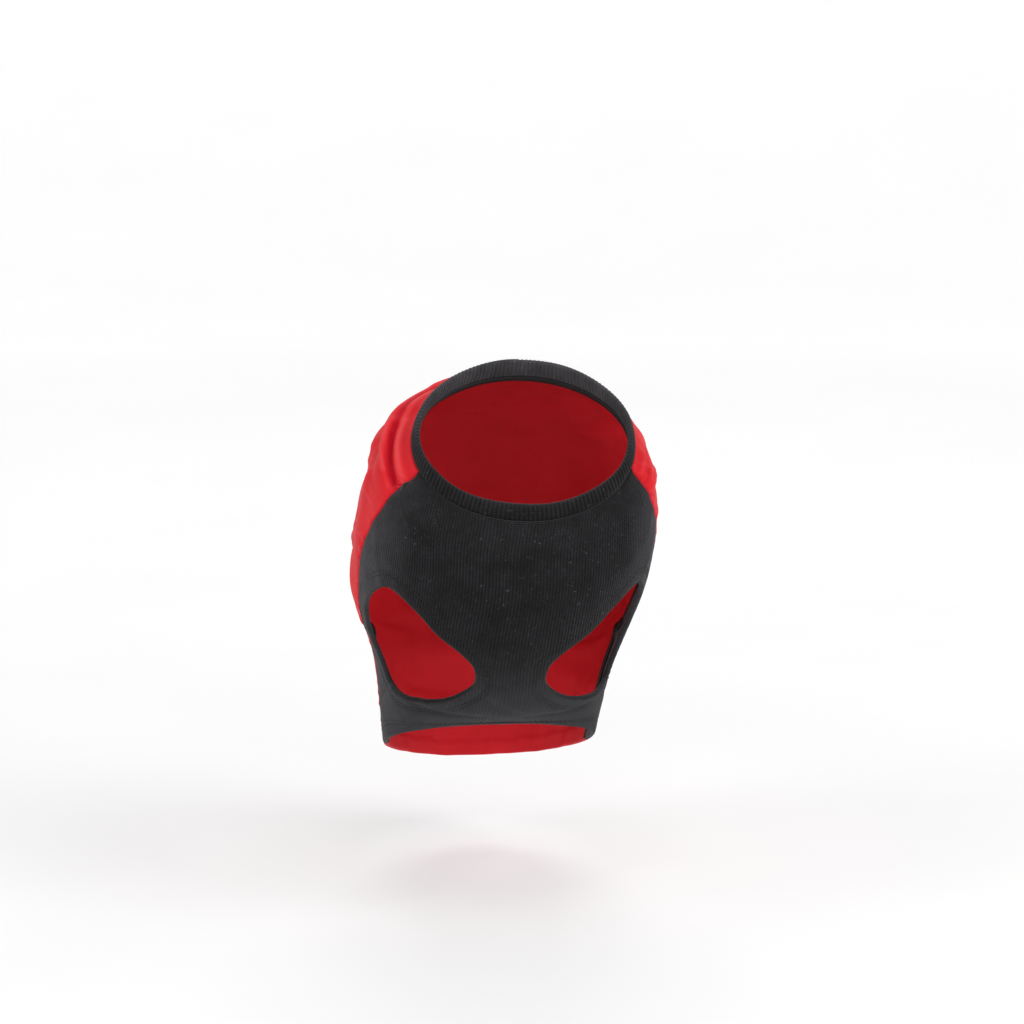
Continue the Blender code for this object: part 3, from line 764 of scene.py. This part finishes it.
def make_panel(name, chart, outline_sides, holes, steps, pucker, rib_height, material):
    """Make one panel of cloth as a closed thin wall with creases, rolled seams and turned edges."""
    outline = tuple(np.concatenate([side[part][:-1] for side in outline_sides]) for part in (0, 1))
    points, triangles = flat_mesh(chart, outline, holes, *steps)
    across, station = points[:, 0], points[:, 1]
    angle = from_chart(chart, across, station)
    face = cloth_point(angle, station)
    normal = face_normal(cloth_point, angle, station)

    seams = np.concatenate([cloth_point(*outline_sides[0]), cloth_point(*outline_sides[2])])
    neck = cloth_point(*outline_sides[3])
    turned = np.concatenate([cloth_point(*edge) for edge in (outline_sides[1], *holes)])
    to_seam, to_neck, to_turned = (nearest(edge, face) for edge in (seams, neck, turned))
    to_sewn = np.minimum(to_seam, to_neck)

    fade = np.clip(np.minimum(to_sewn, to_turned) / SEAM_ROLL, 0.0, 1.0)
    turned_drop = rounding(to_turned, TURNED_ROLL, TURNED_SINK)
    out = unevenness(face) + puckers(station, to_seam, pucker)
    out += ribs(across, RIB_PITCH, rib_height) * fade
    out -= rounding(to_sewn, SEAM_ROLL, SEAM_SINK)
    out -= turned_drop + grooves(to_turned)
    wall = np.where(to_turned < TURNED_WIDTH, TURNED_WALL, WALL)
    inward = unevenness(face) - wall + turned_drop

    positions = np.concatenate([face + normal * out[:, None], face + normal * inward[:, None]])
    first, second, third = face[triangles[0]]
    if np.cross(second - first, third - first).dot(normal[triangles[0][0]]) < 0:
        triangles = triangles[:, ::-1]
    count = len(points)
    rim = [(b, a, a + count, b + count) for a, b in boundary_edges(triangles).tolist()]
    faces = triangles.tolist() + (triangles[:, ::-1] + count).tolist() + rim
    piece = add_piece(name, positions, faces, material)
    add_cloth_map(piece, np.tile(points, (2, 1)))
    # Rib crests fade to nothing at seams and turned edges, and the knit's colour follows them: painted
    # shade between the ribs and along those edges.
    rib_shade_crests = rib_crests(across, RIB_PITCH) * fade
    add_value(piece, "crest", np.concatenate([rib_shade_crests, np.full(count, 0.5)]))
    # The crease rating drives the red cloth's painted shade in creases and painted highlight on folds.
    add_value(piece, "crease", np.concatenate([hollowness(angle, station), np.zeros(count)]))
    return piece


def make_band(material):
    """Make the rib-knit neck band: a section carried round the neck, with ribs across it."""
    station, out = np.array(BAND_SECTION).T
    girth = make_chart(0.0)[1][np.searchsorted(CHART_STATIONS, 0.0)]
    total = girth[-1] - girth[0]
    rib_count = round(total / BAND_RIB_PITCH)
    columns = rib_count * BAND_RIB_SAMPLES
    across = np.arange(columns) * total / columns + girth[0]
    angle = np.interp(across, girth, CHART_TURNS)
    turn, level = np.meshgrid(angle, station, indexing="ij")
    free = np.clip(-level / BAND_HEIGHT, 0.0, 1.0)
    wave = 2 * math.pi * across[:, None] / BAND_SWAY_LENGTH
    level = level + BAND_SWAY * free * np.sin(wave)
    normal = face_normal(tube_point, turn, level)
    lift = out[None, :] + BAND_SWAY * free * np.sin(BAND_LIFT_RATE * wave + BAND_LIFT_START)
    face = tube_point(turn, level) + normal * lift[..., None] - ORIGIN
    ring_run = np.roll(face, -1, axis=0) - np.roll(face, 1, axis=0)
    outward = unit(np.cross(ring_run, np.gradient(face, axis=1)))
    outward *= np.sign((outward * normal).sum(-1)[0, BAND_OUTER_ROW])
    middle = (level + BAND_HEIGHT / 2) / (BAND_HEIGHT / 2)
    relief = ribs(across, total / rib_count, BAND_RIB_HEIGHT)[:, None]
    relief = relief * (1 - BAND_RIB_FADE * np.abs(middle) ** BAND_RIB_FADE_POWER)
    face = face + outward * relief[..., None]
    rows = len(station)
    faces = tube_faces(columns, rows, closed=True)
    piece = add_piece("neck_band", face.reshape(-1, 3), faces, material)
    around = np.cumsum(np.hypot(np.diff(station, prepend=station[0]), np.diff(out, prepend=out[0])))
    add_cloth_map(piece, np.stack([np.repeat(across, rows), np.tile(around, columns)], axis=-1))
    # The band's rib crests set the knit's painted shade between its ribs.
    add_value(piece, "crest", np.repeat(rib_crests(across, total / rib_count), rows))
    return piece


def stitch_row(angle, station, closed):
    """Return stitches' middles, directions and normals along a line on the cloth."""
    points = cloth_point(angle, station)
    if closed:
        points = np.concatenate([points, points[:1]])
        angle = np.append(angle, angle[0])
        station = np.append(station, station[0])
    run = distance_along(points)
    count = int(run[-1] / STITCH_PITCH)
    at = (np.arange(count) + 0.5) * run[-1] / count
    places = np.interp(at, run, angle), np.interp(at, run, station)
    ahead, behind = (np.stack([np.interp(at + step, run, points[:, k]) for k in range(3)], axis=-1)
                     for step in (PROBE, -PROBE))
    return cloth_point(*places), unit(ahead - behind), face_normal(cloth_point, *places)


def make_stitches(name, rows, material):
    """Make lines of stitches as one mesh: each is a short bowed thread that dips at its ends."""
    turns = np.arange(STITCH_SIDES) * 2 * math.pi / STITCH_SIDES
    rings = len(STITCH_PROFILE)
    points, faces = [], []
    for middle, direction, normal in (stitch for row in rows for stitch in zip(*row)):
        sideways = np.cross(normal, direction)
        first = len(points)
        for place, thickness, lift in STITCH_PROFILE:
            height = lift * STITCH_RADIUS - STITCH_SINK
            centre = middle + direction * (place * STITCH_LENGTH) + normal * height
            radius = thickness * STITCH_RADIUS
            points += [centre + radius * (math.cos(t) * sideways + math.sin(t) * normal) for t in turns]
        faces += [face[::-1] for face in tube_faces(rings, STITCH_SIDES, first=first)]
        faces.append(tuple(range(first, first + STITCH_SIDES)))
        faces.append(tuple(range(len(points) - 1, len(points) - 1 - STITCH_SIDES, -1)))
    return add_piece(name, points, faces, material)


def inset_line(angle, station, distance, side):
    """Move a line on the cloth sideways by a distance; side is +1 or -1."""
    run = np.gradient(cloth_point(angle, station), axis=0)
    sideways = unit(np.cross(run, face_normal(cloth_point, angle, station)) * side)
    return step_on_cloth(angle, station, sideways, distance)


def make_allowance(name, angle, station, across, closed, material):
    """Make an overlocked seam allowance that lies inside the cloth beside a seam line.

    across gives how far the allowance moves in degrees and in station for each metre of its width.
    """
    run = distance_along(cloth_point(angle, station))
    at = np.linspace(0.0, run[-1], round(run[-1] / ALLOWANCE_STEP) + 1)
    angle, station = np.interp(at, run, angle), np.interp(at, run, station)
    if closed:
        at, angle, station = at[:-1], angle[:-1], station[:-1]
    wraps = rib_crests(at, ALLOWANCE_PITCH)
    bottom = WALL + ALLOWANCE_CLEARANCE
    low, high = [], []
    for offset, height in ALLOWANCE_PROFILE:
        place = angle + across[0] * offset, station + across[1] * offset
        face = cloth_point(*place)
        normal = face_normal(cloth_point, *place)
        top = bottom + height * ALLOWANCE_TOP + ALLOWANCE_RIDGE * wraps * height
        high.append(face - normal * top[:, None])
        low.append(face - normal * bottom)
    section = high + low[::-1]
    rows, count = len(section), len(at)
    points = np.stack(section, axis=1).reshape(-1, 3)
    faces = tube_faces(count, rows, closed)
    if not closed:
        faces.append(tuple(range(rows - 1, -1, -1)))
        faces.append(tuple(range((count - 1) * rows, count * rows)))
    piece = add_piece(name, points, faces, material)
    turn_faces_out(piece)
    width = np.linspace(0.0, ALLOWANCE_WIDTH * 2, rows)
    add_cloth_map(piece, np.stack([np.tile(width, count), np.repeat(at, rows)], axis=-1))
    add_value(piece, "crest", np.repeat(wraps, rows))
    return piece


# --- Materials ---

def grey(value):
    """Return an even grey."""
    return (value, value, value)


# Ramps. Columns: where the change starts and ends, and the colours there.
# Painted shade between the knit's ribs, from the crest values.
PAINTED_RIB_SHADE = (0.0, 1.0)
DASHED = (0.35, 0.70, grey(0.82), grey(1.35))
# Painted sheen: the knit grows lighter towards the sides, away from the front's middle line.
PAINTED_SIDE_SHEEN = (0.48, 1.0, grey(0.0), (0.038, 0.036, 0.039))
STREAKED = (0.3, 0.7, grey(0.97), grey(1.02))
# Painted shade in the red cloth's creases.
PAINTED_CREASE_SHADE = (0.05, 0.5, (0.68, 0.12, 0.46), grey(1.0))
# Painted highlight on the red cloth's folds.
PAINTED_FOLD_HIGHLIGHT = (0.10, 1.0, grey(0.0), (0.080, 0.036, 0.034))
# Noises. Columns: scale, detail, roughness, then a ramp, which may lack its colours.
CLOUDS = (95.0, 3.0, 0.6, 0.35, 0.72, grey(0.80), (1.75, 1.72, 1.80))
PATCHES = (60.0, 3.0, 0.7, 0.30, 0.70, grey(0.55), grey(1.35))
LINT = (820.0, 2.0, 0.6, 0.66, 0.77, grey(0.0), (0.056, 0.054, 0.056))
FUZZ = (1500.0, 2.0, 0.6)
DYE = (55.0, 3.0, 0.5, 0.3, 0.7)
GRAIN = (900.0, 2.0, 0.5)
TWIST = (2400.0, 2.0, 0.5, 0.35, 0.65)
STRANDS = (3200.0, 1.0, 0.5)
ALONG_THREADS = (1.0, 2.0, 0.5)
PAPER = (6.0, 3.0, 0.5, 0.3, 0.7, grey(0.54), grey(0.56))
# How often the noise along the threads repeats, across and down the cloth, for each metre.
DASH_RATE = (1.0 / RIB_PITCH, 230.0)
STREAK_RATE = (1400.0, 60.0)
# Relief in the shaders: pitches, depths and how strongly the parts count.
KNIT_STITCH = 0.0011
KNIT_SLANT = 2.4
FUZZ_SHARE = 1.2
KNIT_BUMP = 0.00005
WEAVE_PITCH = (0.00052, 0.00048)
GRAIN_SHARE = 0.8
WEAVE_BUMP = 0.00004
THREAD_BUMP = 0.00003
THREAD_SHADES = (0.8, 1.2)
SHEEN_TINT = (0.93, 0.93, 1.0, 1.0)
# Colours: the knits' colours between their ribs (painted shade) and on them, the red cloth's dark and
# light tones, and the threads.
BLACK_KNIT = ((0.0012, 0.0011, 0.0013), (0.0088, 0.0084, 0.0090))
BLACK_RIB = ((0.0011, 0.0010, 0.0011), (0.0078, 0.0075, 0.0079))
RED_CLOTH = ((0.590, 0.0160, 0.0230), (0.645, 0.0190, 0.0270))
BLACK_THREAD = (0.0135, 0.0130, 0.0138)
RED_THREAD = (0.50, 0.006, 0.014)


class Nodes:
    """A small helper that adds and links shader nodes."""

    def __init__(self, name):
        self.material = bpy.data.materials.new(name)
        self.material.use_nodes = True
        self.tree = self.material.node_tree
        self.shader = self.tree.nodes["Principled BSDF"]

    def fill(self, node, inputs):
        """Set or link a node's inputs, each given by its name or place."""
        for key, value in inputs.items():
            if isinstance(value, bpy.types.NodeSocket):
                self.tree.links.new(value, node.inputs[key])
            else:
                node.inputs[key].default_value = value

    def add(self, kind, inputs, **settings):
        node = self.tree.nodes.new(kind)
        for key, value in settings.items():
            setattr(node, key, value)
        self.fill(node, inputs)
        return node

    def math(self, operation, first, second=0.0):
        return self.add("ShaderNodeMath", {0: first, 1: second}, operation=operation).outputs[0]

    def noise(self, scale, detail, roughness, place=None):
        place = place or self.add("ShaderNodeTexCoord", {}).outputs["Object"]
        inputs = {"Vector": place, "Scale": scale, "Detail": detail, "Roughness": roughness}
        return self.add("ShaderNodeTexNoise", inputs).outputs["Fac"]

    def ramp(self, value, start, end, first_colour, last_colour):
        node = self.add("ShaderNodeValToRGB", {"Fac": value})
        stops = zip(node.color_ramp.elements, (start, end), (first_colour, last_colour))
        for element, position, colour in stops:
            element.position = position
            element.color = (*colour, 1.0)
        return node.outputs["Color"]

    def tone(self, scale, detail, roughness, start, end, first_colour, last_colour):
        """Return a colour that changes unevenly over the surface."""
        return self.ramp(self.noise(scale, detail, roughness), start, end, first_colour, last_colour)

    def threads(self, rate, tone):
        """Return a tone that changes unevenly along the threads."""
        across, down = (self.math("MULTIPLY", *pair) for pair in zip(self.cloth_place(), rate))
        place = self.add("ShaderNodeCombineXYZ", {"X": across, "Y": down}).outputs[0]
        return self.ramp(self.noise(*ALONG_THREADS, place), *tone)

    def mix(self, blend, first, second):
        inputs = {"Factor": 1.0, "A": first, "B": second}
        node = self.add("ShaderNodeMix", inputs, data_type="RGBA", blend_type=blend)
        return node.outputs["Result"]

    def attribute(self, name):
        return self.add("ShaderNodeAttribute", {}, attribute_name=name).outputs["Fac"]

    def cloth_place(self):
        """Return the distances across and down the cloth."""
        place = self.add("ShaderNodeUVMap", {}, uv_map="cloth").outputs["UV"]
        parts = self.add("ShaderNodeSeparateXYZ", {0: place})
        return parts.outputs["X"], parts.outputs["Y"]

    def wave(self, place, pitch):
        return self.math("SINE", self.math("MULTIPLY", place, 2 * math.pi / pitch))

    def finish(self, colour, roughness, specular, **sheen):
        """Give the shader its colour and gloss, and return the material."""
        self.fill(self.shader, {"Base Color": colour, "Roughness": roughness,
                                "Specular IOR Level": specular, **sheen})
        return self.material

    def bump(self, height, distance):
        inputs = {"Strength": 1.0, "Distance": distance, "Height": height}
        self.fill(self.shader, {"Normal": self.add("ShaderNodeBump", inputs).outputs["Normal"]})


def knit_material(name, low, high, sheen):
    """Matt knit: painted shade between its ribs and along its edges, V-shaped stitches, lint, painted
    sheen lighter towards the sides, and a soft sheen.
    """
    nodes = Nodes(name)
    across, down = nodes.cloth_place()
    # Painted shade: darker between the ribs and along seams and turned edges, following the crest
    # values.
    ribbed = nodes.ramp(nodes.attribute("crest"), *PAINTED_RIB_SHADE, low, high)
    clouded = nodes.mix("MULTIPLY", ribbed, nodes.tone(*CLOUDS))
    knitted = nodes.mix("MULTIPLY", clouded, nodes.threads(DASH_RATE, DASHED))
    # Painted sheen, lighter towards the sides, in uneven patches.
    outer = nodes.math("MULTIPLY", nodes.math("ABSOLUTE", across), 1 / SIDE_SHEEN_ACROSS)
    patches = nodes.tone(*PATCHES)
    side_sheened = nodes.mix("ADD", knitted, nodes.mix("MULTIPLY", nodes.ramp(outer, *PAINTED_SIDE_SHEEN), patches))
    linty = nodes.mix("ADD", side_sheened, nodes.mix("MULTIPLY", nodes.tone(*LINT), patches))
    slant = nodes.math("ABSOLUTE", nodes.wave(across, RIB_PITCH * 2))
    leg = nodes.math("SINE", nodes.math("ADD", nodes.math("MULTIPLY", down, 2 * math.pi / KNIT_STITCH),
                                        nodes.math("MULTIPLY", slant, KNIT_SLANT)))
    fuzz = nodes.math("MULTIPLY", nodes.noise(*FUZZ), FUZZ_SHARE)
    nodes.bump(nodes.math("ADD", leg, fuzz), KNIT_BUMP)
    gloss = {"Sheen Weight": sheen, "Sheen Roughness": 0.5, "Sheen Tint": SHEEN_TINT}
    return nodes.finish(linty, roughness=0.92, specular=0.15, **gloss)


def woven_material(name, dark, light):
    """Smooth plain weave: painted shade in its creases, painted highlight on its folds, with faint
    streaks along threads.
    """
    nodes = Nodes(name)
    across, down = nodes.cloth_place()
    crease = nodes.attribute("crease")
    # The crease rating, turned into painted shade in creases and a painted highlight on folds.
    depth = nodes.math("ADD", nodes.math("MULTIPLY", crease, 0.5), 0.5)
    shaded = nodes.mix("MULTIPLY", nodes.tone(*DYE, dark, light), nodes.ramp(depth, *PAINTED_CREASE_SHADE))
    # worn holds the painted highlight on the folds.
    worn = nodes.mix("ADD", shaded, nodes.ramp(crease, *PAINTED_FOLD_HIGHLIGHT))
    streaked = nodes.mix("MULTIPLY", worn, nodes.threads(STREAK_RATE, STREAKED))
    weave = nodes.math("MULTIPLY", nodes.wave(across, WEAVE_PITCH[0]), nodes.wave(down, WEAVE_PITCH[1]))
    grain = nodes.math("MULTIPLY", nodes.noise(*GRAIN), GRAIN_SHARE)
    nodes.bump(nodes.math("ADD", weave, grain), WEAVE_BUMP)
    return nodes.finish(streaked, roughness=0.5, specular=0.05)


def thread_material(name, colour):
    """Polyester sewing thread: twisted, with a slight gloss."""
    nodes = Nodes(name)
    shades = [tuple(share * part for part in colour) for share in THREAD_SHADES]
    nodes.bump(nodes.noise(*STRANDS), THREAD_BUMP)
    return nodes.finish(nodes.tone(*TWIST, *shades), roughness=0.6, specular=0.2)


def backdrop_material():
    """Pale matt paper that glows a little, more so far from the coat."""
    nodes = Nodes("pale_backdrop")
    place = nodes.add("ShaderNodeTexCoord", {}).outputs["Object"]
    distance = nodes.add("ShaderNodeVectorMath", {0: place}, operation="LENGTH").outputs["Value"]
    reach = nodes.math("MULTIPLY", distance, 1 / BACKDROP_RADIUS)
    glow = nodes.ramp(reach, NEAR_GLOW[0], FAR_GLOW[0], grey(NEAR_GLOW[1]), grey(FAR_GLOW[1]))
    nodes.fill(nodes.shader, {"Emission Color": glow, "Emission Strength": 1.0})
    return nodes.finish(nodes.tone(*PAPER), roughness=0.9, specular=0.1)


# --- Room ---

LOOK_TARGET = Vector(np.array(LOOK_AT) - ORIGIN)


def place_facing(name, data, azimuth, elevation, distance):
    """Add an object that looks at the coat from an azimuth, an elevation and a distance."""
    turn, lift = math.radians(azimuth), math.radians(elevation)
    towards = Vector((math.sin(turn) * math.cos(lift), -math.cos(turn) * math.cos(lift), math.sin(lift)))
    made = add_object(name, data)
    made.location = LOOK_TARGET + towards * distance
    made.rotation_mode = "QUATERNION"
    made.rotation_quaternion = (LOOK_TARGET - made.location).to_track_quat("-Z", "Y")
    return made


def make_camera():
    """Make the camera at the photograph's viewing angle, with its scale at the coat."""
    data = bpy.data.cameras.new("camera")
    data.sensor_width = SENSOR_WIDTH
    data.lens = SENSOR_WIDTH * CAMERA_DISTANCE / (PICTURE_PIXELS * METRES_PER_PIXEL)
    camera = place_facing("camera", data, CAMERA_AZIMUTH, CAMERA_ELEVATION, CAMERA_DISTANCE)
    bpy.context.scene.camera = camera


def make_lights():
    """Make soft studio light: softboxes round the coat and an even pale world."""
    for name, azimuth, elevation, distance, width, height, watts in LIGHTS:
        data = bpy.data.lights.new(name, "AREA")
        data.shape = "RECTANGLE"
        data.size = width
        data.size_y = height
        data.energy = watts
        place_facing(name, data, azimuth, elevation, distance)
    world = bpy.data.worlds.new("pale_world")
    world.use_nodes = True
    background = world.node_tree.nodes["Background"]
    background.inputs["Color"].default_value = (1.0, 1.0, 1.0, 1.0)
    background.inputs["Strength"].default_value = WORLD_STRENGTH
    bpy.context.scene.world = world
    bpy.context.scene.view_settings.view_transform = "Standard"


def make_backdrop():
    """Make a pale floor a little below the hem, where the wearer sits, that bends up all round."""
    height = cad_box[0][2] - FLOOR_BELOW_HEM
    profile = [(BACKDROP_MIDDLE, 0.0)]
    for t in np.radians(np.linspace(0.0, 90.0, BACKDROP_BEND_RINGS)):
        radius = BACKDROP_RADIUS - BACKDROP_BEND * (1 - math.sin(t))
        profile.append((radius, BACKDROP_BEND * (1 - math.cos(t))))
    profile.append((BACKDROP_RADIUS, BACKDROP_HEIGHT))
    turns = np.arange(BACKDROP_SIDES) * 2 * math.pi / BACKDROP_SIDES
    points = [(radius * math.cos(t), radius * math.sin(t), height + rise)
              for radius, rise in profile for t in turns]
    faces = [tuple(range(BACKDROP_SIDES))]
    faces += [face[::-1] for face in tube_faces(len(profile), BACKDROP_SIDES)]
    mesh = bpy.data.meshes.new("backdrop")
    mesh.from_pydata(points, [], faces)
    mesh.shade_smooth()
    mesh.materials.append(backdrop_material())
    add_object("backdrop", mesh)


# --- The coat ---

def seam_edge(side, turn_back, gap_side):
    """Return a panel's seam edge as a function of station, half the gap away from the seam."""
    gap = math.degrees(SEAM_GAP / 2 / SPREAD) * gap_side
    return lambda station: turn_back + side * (seam_angle(station) + gap)


def make_coat():
    """Make the three pieces of cloth with their sewing, and hide the imported solids that they stand in
    for.
    """
    black = knit_material("black_knit", *BLACK_KNIT, sheen=0.11)
    black_rib = knit_material("black_rib", *BLACK_RIB, sheen=0.12)
    red = woven_material("red_cloth", *RED_CLOTH)
    black_thread = thread_material("black_thread", BLACK_THREAD)
    red_thread = thread_material("red_thread", RED_THREAD)

    front_sides = panel_sides(seam_edge(-1, 0.0, -1), seam_edge(1, 0.0, -1))
    back_sides = panel_sides(seam_edge(1, 0.0, 1), seam_edge(-1, 360.0, 1))
    holes = [armhole_loop(side, EDGE_SPACING) for side in (-1, 1)]

    front = make_panel("front_cloth", make_chart(0.0), front_sides, holes,
                       (RIB_PITCH / RIB_SAMPLES, FRONT_ROW_STEP), FRONT_PUCKER, RIB_HEIGHT, black)
    back = make_panel("back_cloth", make_chart(180.0), back_sides, [],
                      (BACK_STEP, BACK_STEP), BACK_PUCKER, 0.0, red)
    band = make_band(black_rib)

    hole_rows = []
    for hole, side in zip(holes, (-1, 1)):
        closed = tuple(np.append(part, part[:2]) for part in hole)
        for line in STITCH_LINES:
            moved = inset_line(*closed, line, side)
            hole_rows.append(stitch_row(moved[0][1:-1], moved[1][1:-1], True))
    front_hem, back_hem = (
        [stitch_row(*inset_line(*sides[1], line, -1), False) for line in STITCH_LINES]
        for sides in (front_sides, back_sides))
    front_stitches = make_stitches("front_stitches", hole_rows + front_hem, black_thread)
    back_stitches = make_stitches("back_stitches", back_hem, red_thread)
    stations = np.linspace(ALLOWANCE_WIDTH, HEM_STATION - ALLOWANCE_HEM_GAP, ALLOWANCE_PLACES)
    turn = math.degrees(1 / SPREAD)
    allowances = [make_allowance(name, side * seam_angle(stations), stations,
                                 (side * turn, 0.0), False, black_thread)
                  for name, side in (("left_seam_allowance", -1), ("right_seam_allowance", 1))]
    allowances.append(make_allowance("neck_allowance", CHART_TURNS, np.zeros(CHART_COLUMNS),
                                     (0.0, 1.0), True, black_thread))

    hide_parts("front_panel")
    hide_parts("back_panel")
    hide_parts("neck_binding")


make_camera()
make_lights()
make_backdrop()
make_coat()
